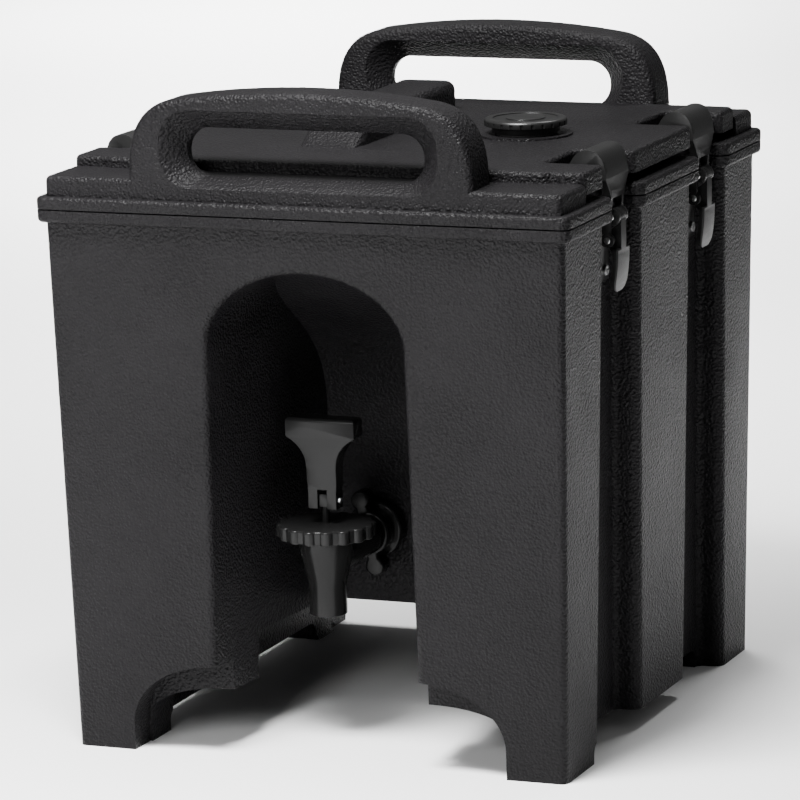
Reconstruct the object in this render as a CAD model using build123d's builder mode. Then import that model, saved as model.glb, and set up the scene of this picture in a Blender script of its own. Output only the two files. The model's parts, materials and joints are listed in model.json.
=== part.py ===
"""Insulated beverage server: a double-walled, foam-filled body with a recessed tap, a lift-off lid with
two carrying handles, four draw latches, a vent cap and a self-closing tap.  Millimetres, +Z up, the front
face looks along -Y, and the origin is on the floor under the middle of the body."""

import os
from math import radians, tan

from build123d import *

os.makedirs("parts", exist_ok=True)

# ---------------------------------------------------------------- driving dimensions
BODY_HALF_X = 181.7          # outside of the walls, projected to the floor
BODY_HALF_Y = 196.3
DRAFT_DEG = 1.2              # every outside wall leans out by this much
RIM_Z = 381.5                # top of the body
BEAD_BOTTOM_Z = 373.0
BEAD_OVERHANG = 5.1
LID_Z = 382.5                # underside of the lid bead
BEAD_TOP_Z = 391.0
BEAD_R = 3.0
CORNER_R = 5.0

CHANNEL_DEPTH = 19.0
CHANNEL_HALF = 41.5          # at the floor; the draft narrows it towards the rim
CHANNEL_YS = (-88.0, 95.5)
CHANNEL_MOUTH_R = 8.0
CHANNEL_FLOOR_R = 6.0

RECESS_HALF = 77.0           # tap recess at the floor, front face
RECESS_HALF_SPRING = 72.5
RECESS_SPRING_Z = 292.0
RECESS_RISE = 51.3
RECESS_BACK_Y = -30.0
RECESS_FACE_Y = -204.0       # where the recess has its full width
RECESS_TAPER = 0.10          # each cheek closes in by this much per millimetre of depth
RECESS_EDGE_R = 5.0

FOOT_INNER_X = 138.5
ARCH_FLAT_X = 76.0
ARCH_SPRING_Z = 20.0
ARCH_CROWN_Z = 63.5
SKIRT_Z = 14.0               # underside of the side walls between the feet
BELLY_Z = 76.0               # underside of the tank
BLOCK_Z = 42.0               # lower block behind the front lip
REAR_Z = 30.0                # underside of the rear wall
LIP_BACK_Y = -172.0
BLOCK_BACK_Y = -136.0
FRONT_FOOT_BACK_Y = -141.0
REAR_FOOT_FRONT_Y = 131.0
REAR_WALL_Y = 165.0

TANK_HALF_X = 140.0
TANK_BACK_Y = 172.0
TANK_FRONT_Y = 2.0           # low front wall, behind the recess
TANK_MOUTH_Y = -172.0
TANK_FLOOR_Z = 104.0
TANK_R = 20.0

TAP_X = -17.0
TAP_Z = 131.5
TAP_Y = -131.0               # axis of the spout
SHANK_R = 11.0
SHANK_HOLE_R = 11.6

# lid
LID_HALF_X = 188.9
LID_HALF_Y = 204.5
STEP_Z = 405.0
PLATEAU_Z = 412.5
PLATEAU_HALF_Y = 160.0
TAB_HALF_X = 188.0
TAB_WALL_X = 165.0           # side wall under the tabs
TAB_SPANS = ((-157, -117), (-57, 67), (133, 164))
NOTCH_SPANS = ((-117, -57), (67, 133))
NOTCH_X = 145.0
PLUG_Z = 373.0
PLUG_HALF_X = 136.0
PLUG_HALF_Y = 168.0
GASKET_TOP_Z = 385.0
GASKET_IN_X = 143.0
GASKET_IN_Y = 175.0
GASKET_WIDTH = 9.0

HANDLE_TOP_Z = 467.0
HANDLE_HALF_X = 126.5
HANDLE_THICK = 37.0
SLOT_HALF_X = 86.5
SLOT_LOW_Z = 406.5
SLOT_HIGH_Z = 440.0
SCOOP_HALF_X = 102.0
SCOOP_HIGH_Z = 454.0

HUMP_X = (-50.0, -5.0)
HUMP_TOP_Z = 434.0
HUMP_FRONT_Y = -90.0
HUMP_BACK_Y = 110.0

VENT_X = 88.0
VENT_BOSS_R = 33.0
VENT_BOSS_Z = 414.0
VENT_HOLE_R = 14.6

# vent cap
VENT_R = 29.2
VENT_TOP_Z = 425.0
VENT_DISC_Z = 420.0
VENT_NECK_R = 24.0
VENT_STEM_R = 14.0
SEAL_Z = 415.5

# draw latches
LATCHES = {
    "front_left": (-1, -86.5),
    "rear_left": (-1, 98.0),
    "front_right": (1, -86.5),
    "rear_right": (1, 98.0),
}
PIVOT = (184.0, 372.5)       # lever on its base, in X and Z
LINK = (182.5, 357.0)        # strap on its lever
PIN_R = 2.4
RUNNING = 0.06
BARREL_R = 6.5
LINK_R = 4.8
WEB = 5.0                    # half widths across the latch, from the middle outwards
EAR_IN = 5.5
EAR_OUT = 9.0
ARM_IN = 9.6
ARM_OUT = 13.0
LEVER_HALF = 12.5
HOOK_HALF = 23.0
BASE_HALF = 15.0
NOSE = (163.5, 401.4)
NOSE_R = 6.0
SCREW_ZS = (333.0, 343.0)
SCREW_DY = 8.5
SCREW_LENGTH = 6.6

# tap
GASKET_Y = RECESS_BACK_Y - 2.0
COLLAR_Y = GASKET_Y - 12.0
NUT_Y = COLLAR_Y - 14.0
COLLAR_R = 20.5
LOBE_OFFSET = 24.0
LOBE_R = 7.0
LOBE_TILT_DEG = 12.0
SPOUT_R = 13.3
SPOUT_Z = 90.6
CONE_LOW_Z = 113.0
CONE_HIGH_Z = 138.0
CUP_R = 19.5
BONNET_R = 34.75
BONNET_Z = (146.0, 156.0)
BONNET_LOBES = 16
STEM_R = 2.6
PIN_Z = 172.0
LEVER_TOP_Z = 231.0

# construction
REACH = 230.0                # half length of a cutter that runs right through the body
LEAN = tan(radians(DRAFT_DEG))


# ---------------------------------------------------------------- shared shapes
def drafted_block(grow, z_low, z_high):
    """Body outline with its four latch channels, leaning out as it rises, grown sideways by grow."""
    half_x = BODY_HALF_X + z_low * LEAN + grow
    half_y = BODY_HALF_Y + z_low * LEAN + grow
    channel = CHANNEL_HALF - z_low * LEAN - grow
    with BuildPart() as block:
        with BuildSketch(Plane.XY.offset(z_low)):
            Rectangle(2 * half_x, 2 * half_y)
            for side in (-1, 1):
                with Locations(*[(side * (half_x - CHANNEL_DEPTH / 2), y) for y in CHANNEL_YS]):
                    Rectangle(CHANNEL_DEPTH, 2 * channel, mode=Mode.SUBTRACT)
        extrude(amount=z_high - z_low, taper=-DRAFT_DEG)
        upright = block.edges().filter_by(lambda e: abs(e.tangent_at(0.5).Z) > 0.9)
        fillet(upright.filter_by(lambda e: abs(e.center().Y) > half_y - 5), max(CORNER_R + 0.4 * grow, 1.5))
        upright = block.edges().filter_by(lambda e: abs(e.tangent_at(0.5).Z) > 0.9)
        inboard = upright.filter_by(lambda e: abs(e.center().Y) < half_y - 30)
        mouths = inboard.filter_by(lambda e: abs(e.center().X) > half_x - CHANNEL_DEPTH / 2)
        fillet(mouths, CHANNEL_MOUTH_R)
        upright = block.edges().filter_by(lambda e: abs(e.tangent_at(0.5).Z) > 0.9)
        floors = upright.filter_by(lambda e: abs(e.center().X) < half_x - CHANNEL_DEPTH / 2)
        floors = floors.filter_by(lambda e: abs(e.center().Y) < half_y - 30)
        fillet(floors, CHANNEL_FLOOR_R)
    return block.part


def arch_face(y, shift):
    """Round-headed outline across the recess at depth y, widened by shift on each side."""
    foot = RECESS_HALF + shift
    spring = RECESS_HALF_SPRING + shift
    with BuildSketch(Plane.XZ.offset(-y)) as arch:
        with BuildLine():
            Line((-foot, -5), (-spring, RECESS_SPRING_Z))
            EllipticalCenterArc((0, RECESS_SPRING_Z), spring, RECESS_RISE, start_angle=0, arc_size=180)
            Line((spring, RECESS_SPRING_Z), (foot, -5))
            Line((foot, -5), (-foot, -5))
        make_face()
    return arch.sketch


def tap_recess():
    """Recess for the tap: an arch pushed in from the front, closing in slightly, with a coved ceiling."""
    with BuildPart() as recess:
        add(arch_face(-REACH, RECESS_TAPER * (REACH + RECESS_FACE_Y)))
        add(arch_face(RECESS_BACK_Y, -RECESS_TAPER * (RECESS_BACK_Y - RECESS_FACE_Y)))
        loft(ruled=True)
        with BuildSketch(Plane.YZ):
            with BuildLine():
                Polyline((-REACH, 362), (-REACH, -6), (RECESS_BACK_Y, -6), (RECESS_BACK_Y, 212))
                Spline(
                    (RECESS_BACK_Y, 212), (-48, 264), (-113, 315), (-REACH, 362),
                    tangents=((0, 1), (-1, 0.3)),
                )
            make_face()
        extrude(amount=120, both=True, mode=Mode.INTERSECT)
    return recess.part


def foot_arch(foot, crown):
    """Outline of the opening between two feet, with quarter ellipses above the feet."""
    run = foot - ARCH_FLAT_X
    rise = crown - ARCH_SPRING_Z
    with BuildSketch(Plane.XZ.offset(REACH)) as arch:
        with BuildLine():
            Line((-foot, -5), (-foot, ARCH_SPRING_Z))
            EllipticalCenterArc((-ARCH_FLAT_X, ARCH_SPRING_Z), run, rise, start_angle=90, arc_size=90)
            Line((-ARCH_FLAT_X, crown), (ARCH_FLAT_X, crown))
            EllipticalCenterArc((ARCH_FLAT_X, ARCH_SPRING_Z), run, rise, start_angle=0, arc_size=90)
            Line((foot, ARCH_SPRING_Z), (foot, -5))
            Line((foot, -5), (-foot, -5))
        make_face()
    return arch.sketch


def underside():
    """Everything removed below the tank: the front arch, the belly and the gaps between the feet."""
    with BuildPart() as space:
        front = foot_arch(FOOT_INNER_X, ARCH_CROWN_Z)
        extrude(front, amount=REACH + LIP_BACK_Y, dir=(0, 1, 0))
        behind = foot_arch(FOOT_INNER_X - 2, BLOCK_Z)
        extrude(behind, amount=REACH + BLOCK_BACK_Y + 10, dir=(0, 1, 0))
        with BuildSketch(Plane.XZ.offset(-BLOCK_BACK_Y)):
            with Locations((0, BELLY_Z / 2 - 3)):
                RectangleRounded(2 * (FOOT_INNER_X + 1.5), BELLY_Z + 6, 16)
        extrude(amount=-(REAR_WALL_Y - BLOCK_BACK_Y))
        with BuildSketch(Plane.XZ.offset(-REAR_WALL_Y + 5)):
            with Locations((0, REAR_Z / 2 - 10)):
                RectangleRounded(2 * (FOOT_INNER_X + 3.5), REAR_Z + 20, 9)
        extrude(amount=-70)
        side_length = REAR_FOOT_FRONT_Y - FRONT_FOOT_BACK_Y
        with BuildSketch(Plane.YZ.offset(-REACH)):
            with Locations(((REAR_FOOT_FRONT_Y + FRONT_FOOT_BACK_Y) / 2, SKIRT_Z / 2 - 6)):
                RectangleRounded(side_length, SKIRT_Z + 12, 7)
        extrude(amount=2 * REACH)
    return space.part


def tank():
    """Liquid space: straight at the back, with the front wall coming forward above the recess."""
    with BuildPart() as hollow:
        with BuildSketch(Plane.YZ):
            with BuildLine():
                Polyline(
                    (TANK_MOUTH_Y, RIM_Z + 5),
                    (TANK_MOUTH_Y, 372),
                    (TANK_FRONT_Y, 262),
                    (TANK_FRONT_Y, TANK_FLOOR_Z),
                    (TANK_BACK_Y, TANK_FLOOR_Z),
                    (TANK_BACK_Y, RIM_Z + 5),
                    close=True,
                )
            make_face()
        extrude(amount=TANK_HALF_X, both=True)
        fillet(hollow.edges().filter_by(Axis.Z), TANK_R)
        fillet(hollow.faces().sort_by(Axis.Z)[0].edges(), 8)
    return hollow.part


def rod_y(radius, y_start, y_end):
    """Round bar along Y on the tap axis."""
    with BuildPart() as rod:
        with BuildSketch(Plane.XZ.offset(-y_start)):
            with Locations((TAP_X, TAP_Z)):
                Circle(radius)
        extrude(amount=y_start - y_end)
    return rod.part


def save(part, label):
    """Name one piece and write it to its own file."""
    part.label = label
    export_step(part, f"parts/{label}.step")


# ---------------------------------------------------------------- body
bead = drafted_block(BEAD_OVERHANG, BEAD_BOTTOM_Z, RIM_Z)
bead = fillet(bead.faces().sort_by(Axis.Z)[0].edges(), BEAD_R)
outside = drafted_block(0, 0, RIM_Z) - tap_recess()
front_rim = outside.edges().filter_by(lambda e: e.center().Y < -190 and abs(e.center().X) < 100)
front_rim = front_rim.filter_by(lambda e: 10 < e.center().Z < 350)
outside = fillet(front_rim, RECESS_EDGE_R) + bead - underside()
body_shell = outside - tank() - rod_y(SHANK_HOLE_R, RECESS_BACK_Y - 5, TANK_FRONT_Y + 5)

# ---------------------------------------------------------------- lid
def handle(face_y, inner_y):
    """Upright carrying handle between two planes across Y, with a scooped hand hole."""
    front = min(face_y, inner_y)
    back = max(face_y, inner_y)
    middle = (front + back) / 2
    with BuildPart() as grip:
        with BuildSketch(Plane.XZ.offset(-back)):
            with BuildLine():
                Line((-HANDLE_HALF_X, 390), (-HANDLE_HALF_X + 1, 415))
                Spline((-HANDLE_HALF_X + 1, 415), (-90, 460.5), tangents=((0.04, 1), (1, 0.145)))
                ThreePointArc((-90, 460.5), (0, HANDLE_TOP_Z), (90, 460.5))
                Spline((90, 460.5), (HANDLE_HALF_X - 1, 415), tangents=((1, -0.145), (0.04, -1)))
                Line((HANDLE_HALF_X - 1, 415), (HANDLE_HALF_X, 390))
                Line((HANDLE_HALF_X, 390), (-HANDLE_HALF_X, 390))
            make_face()
        extrude(amount=back - front)
        rims = grip.edges().filter_by(lambda e: e.center().Z > 400 and abs(e.center().Y - middle) > 10)
        fillet(rims, 5.5)
    holes = []
    for plane_y, low_z in ((face_y, 399.5), (inner_y, STEP_Z + 1.0)):
        inside_y = middle + (3 if plane_y > middle else -3)
        with BuildPart() as scoop:
            with BuildSketch(Plane.XZ.offset(-plane_y - (0.5 if plane_y > middle else -0.5))):
                with Locations((0, (low_z + SCOOP_HIGH_Z) / 2)):
                    RectangleRounded(2 * SCOOP_HALF_X, SCOOP_HIGH_Z - low_z, 22)
            with BuildSketch(Plane.XZ.offset(-inside_y)):
                with Locations((0, (SLOT_LOW_Z + SLOT_HIGH_Z) / 2)):
                    RectangleRounded(2 * SLOT_HALF_X, SLOT_HIGH_Z - SLOT_LOW_Z, 16)
            loft(ruled=True)
        holes.append(scoop.part)
    with BuildPart() as slot:
        with BuildSketch(Plane.XZ.offset(-middle)):
            with Locations((0, (SLOT_LOW_Z + SLOT_HIGH_Z) / 2)):
                RectangleRounded(2 * SLOT_HALF_X, SLOT_HIGH_Z - SLOT_LOW_Z, 16)
        extrude(amount=3.5, both=True)
    return grip.part, holes[0] + holes[1] + slot.part


def lid_hump():
    """Long rounded rise on the lid, ramped at its front end."""
    with BuildPart() as hump:
        with BuildSketch(Plane.YZ.offset(HUMP_X[0])):
            with BuildLine():
                Spline(
                    (HUMP_FRONT_Y, PLATEAU_Z - 1),
                    (HUMP_FRONT_Y + 22, PLATEAU_Z + 12),
                    (HUMP_FRONT_Y + 46, HUMP_TOP_Z),
                    tangents=((0.7, 0.4), (1, 0)),
                )
                Line((HUMP_FRONT_Y + 46, HUMP_TOP_Z), (HUMP_BACK_Y, HUMP_TOP_Z))
                Line((HUMP_BACK_Y, HUMP_TOP_Z), (HUMP_BACK_Y, PLATEAU_Z - 1))
                Line((HUMP_BACK_Y, PLATEAU_Z - 1), (HUMP_FRONT_Y, PLATEAU_Z - 1))
            make_face()
        extrude(amount=HUMP_X[1] - HUMP_X[0])
        fillet(hump.edges().filter_by(Axis.Z), 9)
        fillet(hump.edges().filter_by(lambda e: e.center().Z > PLATEAU_Z + 15), 7)
    return hump.part


def upright_disc(x, y, radius, z_low, z_high):
    """Round bar standing along Z."""
    with BuildPart() as disc:
        with BuildSketch(Plane.XY.offset(z_low)):
            with Locations((x, y)):
                Circle(radius)
        extrude(amount=z_high - z_low)
    return disc.part


lid_bead = drafted_block(BEAD_OVERHANG, LID_Z, BEAD_TOP_Z)
lid_bead = fillet(lid_bead.faces().sort_by(Axis.Z)[-1].edges(), BEAD_R)
with BuildPart() as lid_top:
    with BuildSketch(Plane.XY.offset(LID_Z)):
        RectangleRounded(2 * LID_HALF_X, 2 * LID_HALF_Y, CORNER_R)
    extrude(amount=STEP_Z - LID_Z)
    fillet(lid_top.faces().sort_by(Axis.Z)[-1].edges(), 4)
    with BuildSketch(Plane.XY.offset(LID_Z - 1)):
        for side in (-1, 1):
            with Locations((side * (TAB_WALL_X + 30), (TAB_SPANS[0][0] + TAB_SPANS[2][1]) / 2)):
                Rectangle(60, TAB_SPANS[2][1] - TAB_SPANS[0][0])
    extrude(amount=40, mode=Mode.SUBTRACT)
with BuildPart() as plateau:
    with BuildSketch(Plane.XY.offset(STEP_Z - 8)):
        RectangleRounded(2 * TAB_WALL_X + 2, 2 * PLATEAU_HALF_Y, 8)
        for start, end in TAB_SPANS:
            with Locations((0, (start + end) / 2)):
                RectangleRounded(2 * TAB_HALF_X, end - start, 5)
        for start, end in NOTCH_SPANS:
            for side in (-1, 1):
                with Locations((side * (NOTCH_X + 40), (start + end) / 2)):
                    RectangleRounded(80, end - start, 6, mode=Mode.SUBTRACT)
    extrude(amount=PLATEAU_Z - STEP_Z + 8)
    fillet(plateau.faces().sort_by(Axis.Z)[-1].edges(), 3.5)
with BuildPart() as notches:
    with BuildSketch(Plane.XY.offset(BEAD_TOP_Z)):
        for start, end in NOTCH_SPANS:
            for side in (-1, 1):
                with Locations((side * (NOTCH_X + 40), (start + end) / 2)):
                    RectangleRounded(80, end - start, 6)
    extrude(amount=40)
with BuildPart() as plug:
    with BuildSketch(Plane.XY.offset(PLUG_Z)):
        RectangleRounded(2 * PLUG_HALF_X, 2 * PLUG_HALF_Y, TANK_R - 4)
    extrude(amount=LID_Z - PLUG_Z + 1)
    fillet(plug.faces().sort_by(Axis.Z)[0].edges(), 3)
with BuildPart() as gasket:
    with BuildSketch(Plane.XY.offset(RIM_Z)):
        RectangleRounded(2 * (GASKET_IN_X + GASKET_WIDTH), 2 * (GASKET_IN_Y + GASKET_WIDTH), 26)
        RectangleRounded(2 * GASKET_IN_X, 2 * GASKET_IN_Y, 17, mode=Mode.SUBTRACT)
    extrude(amount=GASKET_TOP_Z - RIM_Z)
front_handle, front_hole = handle(-LID_HALF_Y, -LID_HALF_Y + HANDLE_THICK)
rear_handle, rear_hole = handle(LID_HALF_Y, LID_HALF_Y - HANDLE_THICK)
lid_shell = lid_bead + lid_top.part + plateau.part + front_handle + rear_handle + lid_hump()
lid_shell = lid_shell + upright_disc(VENT_X, 0, VENT_BOSS_R, PLATEAU_Z - 2, VENT_BOSS_Z) + plug.part
lid_shell = lid_shell - notches.part - front_hole - rear_hole - gasket.part
lid_shell = lid_shell - upright_disc(VENT_X, 0, VENT_HOLE_R, PLUG_Z - 1, VENT_BOSS_Z + 1)
save(lid_shell, "lid_shell")
save(gasket.part, "lid_gasket")

# ---------------------------------------------------------------- vent cap
with BuildPart() as vent_seal:
    with BuildSketch(Plane.XY.offset(VENT_BOSS_Z)):
        with Locations((VENT_X, 0)):
            Circle(22)
            Circle(15.5, mode=Mode.SUBTRACT)
    extrude(amount=SEAL_Z - VENT_BOSS_Z)
with BuildPart() as vent_cap:
    with BuildSketch(Plane.XZ):
        with Locations((VENT_X, 0)):
            with Locations((VENT_STEM_R / 2, (396 + SEAL_Z) / 2)):
                Rectangle(VENT_STEM_R, SEAL_Z - 396)
            with Locations((VENT_NECK_R / 2, (SEAL_Z + VENT_DISC_Z) / 2)):
                Rectangle(VENT_NECK_R, VENT_DISC_Z - SEAL_Z)
            with Locations((VENT_R / 2, (VENT_DISC_Z + VENT_TOP_Z) / 2)):
                Rectangle(VENT_R, VENT_TOP_Z - VENT_DISC_Z)
    revolve(axis=Axis((VENT_X, 0, 0), (0, 0, 1)))
    fillet(vent_cap.edges().filter_by(GeomType.CIRCLE).sort_by(Axis.Z)[-1], 2.2)
    with BuildSketch(Plane.XY.offset(VENT_TOP_Z)):
        with Locations((VENT_X, 0)):
            Circle(23)
            Circle(14, mode=Mode.SUBTRACT)
    extrude(amount=-0.8, mode=Mode.SUBTRACT)
    with BuildSketch(Plane.XY.offset(VENT_DISC_Z)):
        with Locations((VENT_X, 0)):
            with PolarLocations(VENT_R + 0.6, 24):
                Circle(1.3)
    extrude(amount=3, mode=Mode.SUBTRACT)
save(vent_seal.part, "vent_seal")
save(vent_cap.part, "vent_cap")

# ---------------------------------------------------------------- draw latches
def channel_floor(z):
    """Distance of the channel floor from the middle plane at height z."""
    return BODY_HALF_X + z * LEAN - CHANNEL_DEPTH


def across(side, y, low, high, outline):
    """Plate cut from an XZ outline, spanning low to high from the middle of the latch, both ways."""
    points = [(side * x, z) for x, z in outline]
    with BuildPart() as plate:
        for way in (-1, 1):
            with BuildSketch(Plane.XZ.offset(-(y + way * low))):
                Polygon(*points, align=None)
            extrude(amount=-way * (high - low))
    return plate.part


def barrel(side, y, low, high, centre, radius):
    """Round bar along Y about one latch axis, spanning low to high from the middle, both ways."""
    with BuildPart() as bar:
        for way in (-1, 1):
            with BuildSketch(Plane.XZ.offset(-(y + way * low))):
                with Locations((side * centre[0], centre[1])):
                    Circle(radius)
            extrude(amount=-way * (high - low))
    return bar.part


def latch_base(side, y):
    """Plate screwed to the channel floor with two ears for the lever."""
    plate = across(side, y, 0, BASE_HALF, [
        (channel_floor(326), 326), (channel_floor(371), 371), (175.0, 371), (173.4, 326),
    ])
    ears = across(side, y, EAR_IN, EAR_OUT, [
        (173.5, 357), (173.5, 371), (176.5, 371.5), (180.2, 377.8), (188.6, 367.9),
    ])
    ears = ears + barrel(side, y, EAR_IN, EAR_OUT, PIVOT, BARREL_R)
    return plate + ears - barrel(side, y, 0, EAR_OUT + 1, PIVOT, PIN_R)


def latch_lever(side, y):
    """Pull lever: a hinge barrel, a lug for the strap pin and a curved paddle."""
    web = across(side, y, 0, WEB, [
        (178.2, 371), (190.4, 371), (190.2, 350), (185.6, 345), (178.6, 354),
    ])
    web = web + barrel(side, y, 0, WEB, PIVOT, BARREL_R) + barrel(side, y, 0, WEB, LINK, LINK_R)
    with BuildPart() as paddle:
        with BuildSketch(Plane.XZ.offset(-(y + LEVER_HALF))):
            with BuildLine():
                Line((side * 186.4, 351), (side * 190.2, 351))
                Spline(
                    (side * 190.2, 351), (side * 189.2, 334), (side * 186.6, 320),
                    tangents=((0, -1), (side * -0.25, -1)),
                )
                Line((side * 186.6, 320), (side * 182.4, 321.5))
                Spline(
                    (side * 182.4, 321.5), (side * 185.4, 335), (side * 186.4, 351),
                    tangents=((side * 0.25, 1), (0, 1)),
                )
            make_face()
        extrude(amount=2 * LEVER_HALF)
        tips = paddle.edges().filter_by(lambda e: e.center().Z < 322 and abs(e.tangent_at(0.5).X) > 0.8)
        fillet(tips, 9)
        fillet(paddle.edges().filter_by(lambda e: abs(e.center().X) > 186.5 and e.length > 12), 1.2)
    return (web + paddle.part - barrel(side, y, 0, WEB + 1, PIVOT, PIN_R + RUNNING)
            - barrel(side, y, 0, WEB + 1, LINK, PIN_R))


def latch_strap(side, y):
    """Strap: two arms from the lever, widening into a broad hook that reaches into the lid notch."""
    arms = across(side, y, ARM_IN, ARM_OUT, [
        (180.1, 357), (180.8, 392), (186.6, 392), (185.0, 367), (184.9, 357),
    ])
    arms = arms + barrel(side, y, ARM_IN, ARM_OUT, LINK, LINK_R)
    with BuildPart() as hook:
        with BuildSketch(Plane.XZ.offset(-(y + HOOK_HALF))):
            with BuildLine():
                Polyline((side * 180.6, 386), (side * 186.6, 386), (side * 186.4, 400))
                Spline(
                    (side * 186.4, 400), (side * 176, 420), (side * 158.6, 406),
                    tangents=((side * -0.05, 1), (side * -0.3, -1)),
                )
                Line((side * 158.6, 406), (side * 168.6, 405.5))
                Spline(
                    (side * 168.6, 405.5), (side * 174.5, 411), (side * 180.8, 398),
                    tangents=((side * 0.3, 1), (side * 0.05, -1)),
                )
                Line((side * 180.8, 398), (side * 180.6, 386))
            make_face()
        extrude(amount=2 * HOOK_HALF)
        with BuildSketch(Plane.XZ.offset(-(y + HOOK_HALF))):
            with Locations((side * NOSE[0], NOSE[1])):
                Circle(NOSE_R)
        extrude(amount=2 * HOOK_HALF)
        with BuildSketch(Plane.YZ.offset(side * 150)):
            with BuildLine():
                Polyline((y - ARM_OUT, 350), (y - ARM_OUT, 387), (y - HOOK_HALF, 400), (y - HOOK_HALF, 430))
                Polyline((y - HOOK_HALF, 430), (y + HOOK_HALF, 430), (y + HOOK_HALF, 400))
                Polyline((y + HOOK_HALF, 400), (y + ARM_OUT, 387), (y + ARM_OUT, 350), (y - ARM_OUT, 350))
            make_face()
        extrude(amount=side * 50, mode=Mode.INTERSECT)
    return arms + hook.part - barrel(side, y, ARM_IN - 1, ARM_OUT + 1, LINK, PIN_R + RUNNING)


def screw(side, y, z):
    """Countersunk screw through the latch base into the channel floor."""
    head_x = 173.4 + (z - 326) * 1.6 / 45
    with BuildPart() as body:
        with BuildSketch(Plane.YZ.offset(side * (head_x - SCREW_LENGTH))):
            with Locations((y, z)):
                Circle(1.9)
        extrude(amount=side * (SCREW_LENGTH + 0.8))
        with BuildSketch(Plane.YZ.offset(side * head_x)):
            with Locations((y, z)):
                Circle(3.6)
        extrude(amount=side * 1.4)
        with BuildSketch(Plane.YZ.offset(side * (head_x + 1.4))):
            with Locations((y, z)):
                Rectangle(5.0, 0.9)
                Rectangle(0.9, 5.0)
        extrude(amount=-side * 0.8, mode=Mode.SUBTRACT)
    return body.part


base_pins = []
screws = []
for label, (side, y) in LATCHES.items():
    base = latch_base(side, y)
    for z in SCREW_ZS:
        screws.append(screw(side, y + SCREW_DY * (1 if z == SCREW_ZS[0] else -1), z))
    for one in screws[-2:]:
        base = base - one
    save(base, f"latch_base_{label}")
    save(latch_lever(side, y), f"latch_lever_{label}")
    save(latch_strap(side, y), f"latch_strap_{label}")
    save(barrel(side, y, 0, ARM_OUT, LINK, PIN_R), f"latch_link_pin_{label}")
    base_pins.append(barrel(side, y, 0, EAR_OUT, PIVOT, PIN_R))
save(Compound(children=base_pins), "latch_base_pins")
save(Compound(children=screws), "latch_screws")
save(body_shell - screws, "body_shell")

# ---------------------------------------------------------------- tap
def tap_ring(outer_r, inner_r, y_start, y_end):
    """Ring on the shank axis."""
    return rod_y(outer_r, y_start, y_end) - rod_y(inner_r, y_start + 1, y_end - 1)


tap_gasket = tap_ring(COLLAR_R - 1.5, SHANK_R, RECESS_BACK_Y, GASKET_Y)
collar = tap_ring(COLLAR_R, SHANK_R, GASKET_Y, COLLAR_Y)
collar = fillet(collar.edges().filter_by(lambda e: e.length > 40 * 3 and e.center().Y < GASKET_Y - 1), 2.0)
with BuildPart() as wing_nut:
    with BuildSketch(Plane(origin=(TAP_X, COLLAR_Y, TAP_Z), x_dir=(1, 0, 0), z_dir=(0, -1, 0))):
        Circle(16)
        with Locations(Rotation(0, 0, LOBE_TILT_DEG)):
            Rectangle(9, 2 * LOBE_OFFSET)
            with Locations((0, LOBE_OFFSET), (0, -LOBE_OFFSET)):
                Circle(LOBE_R)
        Circle(SHANK_R, mode=Mode.SUBTRACT)
    extrude(amount=COLLAR_Y - NUT_Y)
    fillet(wing_nut.faces().sort_by(Axis.Y)[0].outer_wire().edges(), 2.0)
    fillet(wing_nut.faces().sort_by(Axis.Y)[-1].outer_wire().edges(), 2.0)
with BuildPart() as tap_body:
    with BuildSketch(Plane.XZ.offset(-TAP_Y)):
        with BuildLine():
            Polyline(
                (TAP_X, SPOUT_Z), (TAP_X + SPOUT_R, SPOUT_Z), (TAP_X + SPOUT_R, CONE_LOW_Z),
                (TAP_X + CUP_R, CONE_HIGH_Z), (TAP_X + CUP_R, BONNET_Z[0]), (TAP_X, BONNET_Z[0]),
                close=True,
            )
        make_face()
    revolve(axis=Axis((TAP_X, TAP_Y, 0), (0, 0, 1)))
    fillet(tap_body.edges().filter_by(GeomType.CIRCLE).sort_by(Axis.Z)[0], 1.2)
    with BuildSketch(Plane.XZ.offset(-TAP_Y)):
        with Locations((TAP_X, TAP_Z)):
            Circle(SHANK_R)
    extrude(amount=-(TANK_FRONT_Y + 16 - TAP_Y))
    with BuildSketch(Plane.XZ.offset(-NUT_Y)):
        with Locations((TAP_X, TAP_Z)):
            Circle(14.5)
    extrude(amount=NUT_Y - TAP_Y - 12)
    with BuildSketch(Plane.XY.offset(118)):
        with Locations((TAP_X, TAP_Y)):
            Circle(14.0)
    extrude(amount=40, mode=Mode.SUBTRACT)
    with BuildSketch(Plane.XY.offset(SPOUT_Z - 1)):
        with Locations((TAP_X, TAP_Y)):
            Circle(10.0)
    extrude(amount=40, mode=Mode.SUBTRACT)
    with BuildSketch(Plane.XZ.offset(-TAP_Y - 5)):
        with Locations((TAP_X, TAP_Z)):
            Circle(8.0)
    extrude(amount=-200, mode=Mode.SUBTRACT)
with BuildPart() as bonnet:
    with BuildSketch(Plane.XY.offset(BONNET_Z[0])):
        with Locations((TAP_X, TAP_Y)):
            Circle(BONNET_R - 2.5)
            with PolarLocations(BONNET_R - 5.0, BONNET_LOBES):
                Circle(5.0)
            Circle(STEM_R + 0.4, mode=Mode.SUBTRACT)
    extrude(amount=BONNET_Z[1] - BONNET_Z[0])
    fillet(bonnet.faces().sort_by(Axis.Z)[-1].outer_wire().edges(), 1.5)
    fillet(bonnet.faces().sort_by(Axis.Z)[0].outer_wire().edges(), 1.5)
with BuildPart() as tap_stem:
    with BuildSketch(Plane.XY.offset(121)):
        with Locations((TAP_X, TAP_Y)):
            Circle(STEM_R)
    extrude(amount=PIN_Z - 121)
    with BuildSketch(Plane.XZ.offset(-TAP_Y)):
        with Locations((TAP_X, PIN_Z)):
            Rectangle(6.0, 9.0)
    extrude(amount=4.0, both=True)
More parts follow.
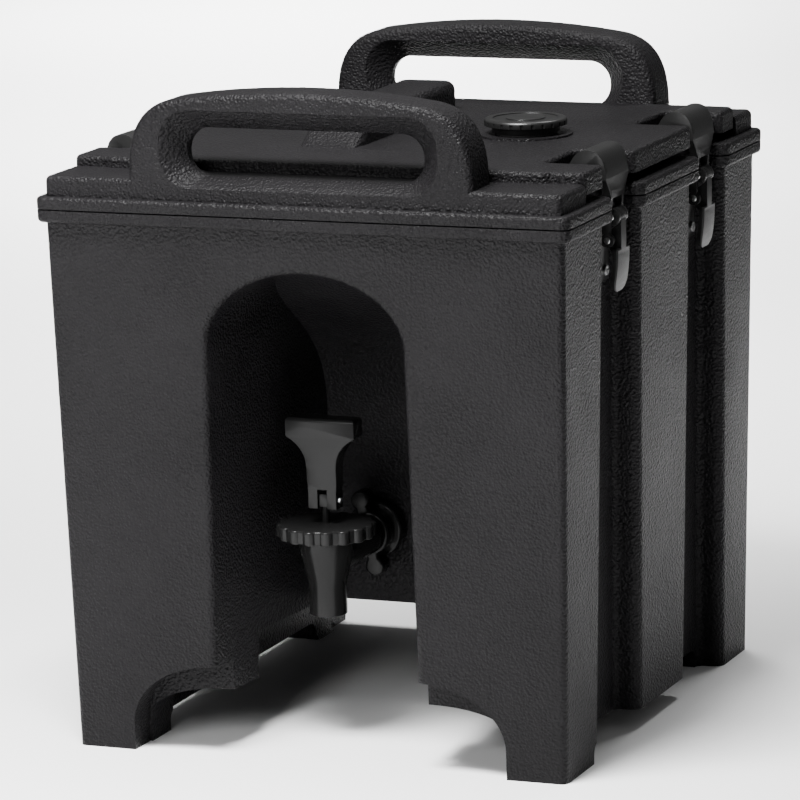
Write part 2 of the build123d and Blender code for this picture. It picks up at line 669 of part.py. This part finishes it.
with BuildPart() as seat_cup:
    with BuildSketch(Plane.XY.offset(118)):
        with Locations((TAP_X, TAP_Y)):
            Circle(12.5)
    extrude(amount=9, taper=12)
pin_hole = Plane.YZ.offset(TAP_X - 12)
with BuildPart() as stem_eye:
    with BuildSketch(pin_hole):
        with Locations((TAP_Y, PIN_Z)):
            Circle(2.0 + RUNNING)
    extrude(amount=24)
with BuildPart() as lever_pin:
    with BuildSketch(pin_hole):
        with Locations((TAP_Y, PIN_Z)):
            Circle(2.0)
    extrude(amount=24)
with BuildPart() as tap_lever:
    with BuildSketch(Plane.XZ.offset(-TAP_Y - 8)):
        with BuildLine():
            Polyline((TAP_X - 10.5, 166.5), (TAP_X + 10.5, 166.5), (TAP_X + 10.5, 177.5), (TAP_X + 11, 186))
            Spline(
                (TAP_X + 11, 186), (TAP_X + 14, 207), (TAP_X + 25, 217),
                tangents=((0, 1), (1, 0.5)),
            )
            Polyline((TAP_X + 25, 217), (TAP_X + 25.7, 218), (TAP_X + 25.7, LEVER_TOP_Z))
            Line((TAP_X + 25.7, LEVER_TOP_Z), (TAP_X - 25.7, LEVER_TOP_Z))
            Polyline((TAP_X - 25.7, LEVER_TOP_Z), (TAP_X - 25.7, 218), (TAP_X - 25, 217))
            Spline(
                (TAP_X - 25, 217), (TAP_X - 14, 207), (TAP_X - 11, 186),
                tangents=((1, -0.5), (0, -1)),
            )
            Polyline((TAP_X - 11, 186), (TAP_X - 10.5, 177.5), (TAP_X - 10.5, 166.5))
        make_face()
    extrude(amount=16)
    with BuildSketch(Plane.YZ.offset(TAP_X)):
        with BuildLine():
            Polyline((TAP_Y - 6, 160), (TAP_Y + 6, 160), (TAP_Y + 6, 184), (TAP_Y + 8, 216))
            Line((TAP_Y + 8, 216), (TAP_Y + 8, LEVER_TOP_Z + 1))
            Line((TAP_Y + 8, LEVER_TOP_Z + 1), (TAP_Y - 8, LEVER_TOP_Z + 1))
            Line((TAP_Y - 8, LEVER_TOP_Z + 1), (TAP_Y - 8, 216))
            Polyline((TAP_Y - 8, 216), (TAP_Y - 6, 184), (TAP_Y - 6, 160))
        make_face()
    extrude(amount=40, both=True, mode=Mode.INTERSECT)
    fillet(tap_lever.faces().sort_by(Axis.Z)[-1].edges(), 3.0)
    with BuildSketch(Plane.XY.offset(160)):
        with Locations((TAP_X, TAP_Y)):
            Rectangle(7.0, 20)
    extrude(amount=20, mode=Mode.SUBTRACT)
tap_lever_part = tap_lever.part - lever_pin.part
with BuildPart() as tank_nut:
    nut_plane = Plane(origin=(TAP_X, TANK_FRONT_Y + 2, TAP_Z), x_dir=(1, 0, 0), z_dir=(0, 1, 0))
    with BuildSketch(nut_plane):
        RegularPolygon(18.0, 6)
        Circle(SHANK_R, mode=Mode.SUBTRACT)
    extrude(amount=9)
tank_washer = tap_ring(16.5, SHANK_R, TANK_FRONT_Y + 2, TANK_FRONT_Y)
save(tap_gasket, "tap_gasket")
save(collar, "tap_collar")
save(wing_nut.part, "tap_wing_nut")
save(tap_body.part, "tap_body")
save(bonnet.part, "tap_bonnet")
save(tap_stem.part - stem_eye.part, "tap_stem")
save(seat_cup.part - upright_disc(TAP_X, TAP_Y, STEM_R, 121, 130), "tap_seat_cup")
save(tap_lever_part, "tap_lever")
save(lever_pin.part, "tap_lever_pin")
save(tank_nut.part, "tank_nut")
save(tank_washer, "tank_washer")
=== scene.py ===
"""Studio view of the insulated beverage server.  Metres, in the frame of the CAD, with the front along -Y."""

import json
import math

import bmesh
import bpy
from mathutils import Matrix


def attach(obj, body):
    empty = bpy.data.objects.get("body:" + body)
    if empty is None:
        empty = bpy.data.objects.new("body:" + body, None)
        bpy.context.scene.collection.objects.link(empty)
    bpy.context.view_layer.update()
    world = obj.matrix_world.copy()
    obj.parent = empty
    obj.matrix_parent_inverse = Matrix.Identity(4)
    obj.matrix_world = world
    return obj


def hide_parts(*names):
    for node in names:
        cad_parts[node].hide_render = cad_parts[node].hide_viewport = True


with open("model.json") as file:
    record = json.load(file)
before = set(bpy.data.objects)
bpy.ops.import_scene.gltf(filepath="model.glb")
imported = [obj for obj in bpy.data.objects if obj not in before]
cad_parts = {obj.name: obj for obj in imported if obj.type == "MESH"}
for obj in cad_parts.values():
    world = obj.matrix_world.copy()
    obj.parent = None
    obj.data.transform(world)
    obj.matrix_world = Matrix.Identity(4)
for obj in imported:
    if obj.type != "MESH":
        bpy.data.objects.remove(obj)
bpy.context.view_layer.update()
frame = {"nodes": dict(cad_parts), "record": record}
nodes = frame["nodes"]

# ------------------------------------------------------------ camera
# Azimuths are measured from the front, -Y, towards +X.
AZIMUTH = math.radians(21.96)
ELEVATION = math.radians(11.32)
ROLL = math.radians(-1.43)
DISTANCE = 3.6394
TARGET = (-0.0012, -0.0005, 0.2198)
LENS_MM = 228.88
SENSOR_MM = 36
SHIFT_X = -0.0178
SHIFT_Y = -0.0032
CLIP_END = 100


def orbit(centre, azimuth, elevation, distance):
    """Place that looks at centre from a direction and a distance."""
    spin = Matrix.Rotation(azimuth, 4, "Z") @ Matrix.Rotation(math.pi / 2 - elevation, 4, "X")
    return Matrix.Translation(centre) @ spin @ Matrix.Translation((0, 0, distance))


camera_data = bpy.data.cameras.new("camera")
camera_data.lens = LENS_MM
camera_data.sensor_width = SENSOR_MM
camera_data.shift_x = SHIFT_X
camera_data.shift_y = SHIFT_Y
camera_data.clip_end = CLIP_END
camera = bpy.data.objects.new("camera", camera_data)
bpy.context.scene.collection.objects.link(camera)
camera.matrix_world = orbit(TARGET, AZIMUTH, ELEVATION, DISTANCE) @ Matrix.Rotation(ROLL, 4, "Z")
bpy.context.scene.camera = camera

# ------------------------------------------------------------ materials
# Noise scales are repeats per metre, and depths are metres.
CLOUD_SCALE = 9.0
SPECK_SCALE = 900.0
SPECK_SHARE = 0.3
PIT_SCALE = 0.8              # of the grain's own scale
FINE_SCALE = 2600
FINE_DEPTH = 0.00006
FINE_STRENGTH = 0.4
PLASTIC_IOR = 1.45


def node_maker(tree):
    """Short form for adding a node with some inputs and properties set."""
    def make(kind, inputs=(), **props):
        node = tree.nodes.new(kind)
        for name, value in props.items():
            setattr(node, name, value)
        for name, value in dict(inputs).items():
            if hasattr(value, "is_output"):
                tree.links.new(value, node.inputs[name])
            else:
                node.inputs[name].default_value = value
        return node
    return make


def ramp(make, factor, stops):
    """Colour ramp from (position, grey or colour) stops."""
    node = make("ShaderNodeValToRGB", {"Fac": factor})
    for element, (position, value) in zip(node.color_ramp.elements, stops):
        element.position = position
        element.color = (*value, 1) if isinstance(value, tuple) else (value, value, value, 1)
    return node.outputs["Color"]


def blend(make, factor, first, second):
    """Mix of two values."""
    node = make("ShaderNodeMix", {"Factor": factor, "A": first, "B": second}, data_type="FLOAT")
    return node.outputs["Result"]


def moulded(name, dark, light, rough, grain, grain_depth, ior=PLASTIC_IOR):
    """Moulded surface: uneven colour, patchy gloss and a pitted grain over a much finer one."""
    material = bpy.data.materials.new(name)
    material.use_nodes = True
    tree = material.node_tree
    shader = tree.nodes["Principled BSDF"]
    make = node_maker(tree)
    place = make("ShaderNodeTexCoord").outputs["Object"]
    cloud = make(
        "ShaderNodeTexNoise",
        {"Vector": place, "Scale": CLOUD_SCALE, "Detail": 6.0, "Roughness": 0.6},
    )
    speck = make("ShaderNodeTexNoise", {"Vector": place, "Scale": SPECK_SCALE, "Detail": 3.0})
    uneven = blend(make, SPECK_SHARE, cloud.outputs["Fac"], speck.outputs["Fac"])
    tree.links.new(ramp(make, uneven, [(0.35, dark), (0.68, light)]), shader.inputs["Base Color"])
    tree.links.new(ramp(make, uneven, [(0.3, rough[0]), (0.7, rough[1])]), shader.inputs["Roughness"])
    cells = make(
        "ShaderNodeTexVoronoi",
        {"Vector": place, "Scale": grain, "Smoothness": 0.8},
        feature="SMOOTH_F1",
    )
    pits = make(
        "ShaderNodeTexNoise",
        {"Vector": place, "Scale": grain * PIT_SCALE, "Detail": 3.0, "Roughness": 0.55},
    )
    height = blend(make, 0.5, cells.outputs["Distance"], pits.outputs["Fac"])
    fine = make("ShaderNodeTexNoise", {"Vector": place, "Scale": FINE_SCALE, "Detail": 2.0})
    coarse_bump = make("ShaderNodeBump", {"Height": height, "Strength": 1.0, "Distance": grain_depth})
    fine_bump = make(
        "ShaderNodeBump",
        {
            "Height": fine.outputs["Fac"],
            "Strength": FINE_STRENGTH,
            "Distance": FINE_DEPTH,
            "Normal": coarse_bump.outputs["Normal"],
        },
    )
    tree.links.new(fine_bump.outputs["Normal"], shader.inputs["Normal"])
    shader.inputs["IOR"].default_value = ior
    return material


def grey(value):
    """Neutral colour."""
    return (value, value, value)


LOOKS = {
    "shell_plastic": moulded(
        "shell_plastic", (0.0055, 0.0052, 0.0056), (0.0095, 0.009, 0.0097),
        rough=(0.32, 0.44), grain=540.0, grain_depth=0.0019, ior=1.16,
    ),
    "tap_plastic": moulded(
        "tap_plastic", grey(0.006), grey(0.009),
        rough=(0.14, 0.24), grain=260.0, grain_depth=0.00003, ior=1.2,
    ),
    "cap_plastic": moulded(
        "cap_plastic", grey(0.005), grey(0.009),
        rough=(0.28, 0.4), grain=500.0, grain_depth=0.00006,
    ),
    "latch_plastic": moulded(
        "latch_plastic", grey(0.007), grey(0.011),
        rough=(0.26, 0.38), grain=400.0, grain_depth=0.00006, ior=1.28,
    ),
    "rubber": moulded(
        "rubber", grey(0.02), grey(0.03),
        rough=(0.6, 0.75), grain=700.0, grain_depth=0.00008,
    ),
    "steel": moulded(
        "steel", grey(0.5), (0.62, 0.62, 0.63),
        rough=(0.25, 0.4), grain=900.0, grain_depth=0.00003,
    ),
}
LOOKS["steel"].node_tree.nodes["Principled BSDF"].inputs["Metallic"].default_value = 1.0

# ------------------------------------------------------------ pieces
KEPT_SLOTS = {"rubber"}      # these nodes keep their CAD shape and only get a material
EDGE = 0.0005                # width of the rounding on sharp edges
WIDER_EDGES = {
    "body_shell": 0.0014,
    "lid_shell": 0.0008,
    "tap_lever": 0.0009,
    "tap_bonnet": 0.0006,
    "tap_body": 0.0006,
}
EDGE_SEGMENTS = 3
SHARP = math.radians(32)
FLAT = math.radians(0.6)     # faces that meet at less than this become one
SAME_POINT = 1e-6

body_of_node = {}
for body, members in frame["record"]["behaviour"]["bodies"].items():
    for member in members:
        body_of_node[member] = body


def softened(node, slot_name):
    """The node's shape as clean mesh faces with every sharp edge rounded over."""
    mesh = nodes[node].data.copy()
    mesh.name = "soft_" + node
    work = bmesh.new()
    work.from_mesh(mesh)
    bmesh.ops.remove_doubles(work, verts=work.verts, dist=SAME_POINT)
    bmesh.ops.dissolve_degenerate(work, edges=work.edges, dist=SAME_POINT)
    bmesh.ops.dissolve_limit(
        work, angle_limit=FLAT, verts=work.verts, edges=work.edges, use_dissolve_boundaries=False
    )
    for face in work.faces:
        face.smooth = True
        face.material_index = 0
    work.to_mesh(mesh)
    work.free()
    mesh.materials.clear()
    mesh.materials.append(LOOKS[slot_name])
    piece = bpy.data.objects.new("soft_" + node, mesh)
    bpy.context.scene.collection.objects.link(piece)
    edge = piece.modifiers.new("edge", "BEVEL")
    edge.width = WIDER_EDGES.get(node, EDGE)
    edge.segments = EDGE_SEGMENTS
    edge.limit_method = "ANGLE"
    edge.angle_limit = SHARP
    edge.harden_normals = True
    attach(piece, body_of_node[node])
    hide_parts(node)


for part in frame["record"]["subparts"]:
    name, slot_name = part["node"], part["material_slot"]
    if slot_name in KEPT_SLOTS:
        for slot in nodes[name].material_slots:
            slot.material = LOOKS[slot_name]
    else:
        softened(name, slot_name)

# ------------------------------------------------------------ floor
FLOOR_HALF = 12.0
FLOOR_GREY = 0.92
FLOOR_ROUGHNESS = 0.6
WORLD_STRENGTH = 0.16

floor_look = bpy.data.materials.new("floor")
floor_look.use_nodes = True
floor_shader = floor_look.node_tree.nodes["Principled BSDF"]
floor_shader.inputs["Base Color"].default_value = (*grey(FLOOR_GREY), 1)
floor_shader.inputs["Roughness"].default_value = FLOOR_ROUGHNESS
floor_mesh = bpy.data.meshes.new("floor")
corners = [(FLOOR_HALF * x, FLOOR_HALF * y, 0) for x, y in ((-1, -1), (1, -1), (1, 1), (-1, 1))]
floor_mesh.from_pydata(corners, [], [(0, 1, 2, 3)])
floor_mesh.materials.append(floor_look)
floor = bpy.data.objects.new("floor", floor_mesh)
bpy.context.scene.collection.objects.link(floor)

world = bpy.data.worlds.new("world")
world.use_nodes = True
world.node_tree.nodes["Background"].inputs["Color"].default_value = (1, 1, 1, 1)
world.node_tree.nodes["Background"].inputs["Strength"].default_value = WORLD_STRENGTH
bpy.context.scene.world = world

# ------------------------------------------------------------ lights
AIM = (0, 0, 0.25)           # near the middle of the carrier
PANEL_SPREAD = math.radians(62)


def softbox(name, azimuth, elevation, distance, width, height, power):
    """Rectangular soft light aimed at the carrier, with its direction in degrees."""
    data = bpy.data.lights.new(name, "AREA")
    data.shape = "RECTANGLE"
    data.size = width
    data.size_y = height
    data.energy = power
    light = bpy.data.objects.new(name, data)
    light.matrix_world = orbit(AIM, math.radians(azimuth), math.radians(elevation), distance)
    bpy.context.scene.collection.objects.link(light)


def ceiling_panel(name, x, y, height, side, power):
    """Soft light that looks straight down, narrowed so that it falls mostly on one patch of floor."""
    data = bpy.data.lights.new(name, "AREA")
    data.size = side
    data.energy = power
    data.spread = PANEL_SPREAD
    light = bpy.data.objects.new(name, data)
    light.location = (x, y, height)
    bpy.context.scene.collection.objects.link(light)


softbox("key", azimuth=-8, elevation=24, distance=2.2, width=1.2, height=0.8, power=28)
softbox("rake", azimuth=-4, elevation=62, distance=1.2, width=0.4, height=0.3, power=46)
softbox("top", azimuth=165, elevation=58, distance=2.4, width=0.7, height=0.3, power=22)
ceiling_panel("front_floor", x=-0.4, y=-1.3, height=2.4, side=1.2, power=60)
ceiling_panel("near_floor", x=-0.5, y=1.1, height=2.2, side=0.9, power=24)
ceiling_panel("middle_floor", x=-1.1, y=2.4, height=2.2, side=0.9, power=42)
ceiling_panel("far_floor", x=-1.7, y=3.8, height=2.4, side=1.1, power=70)
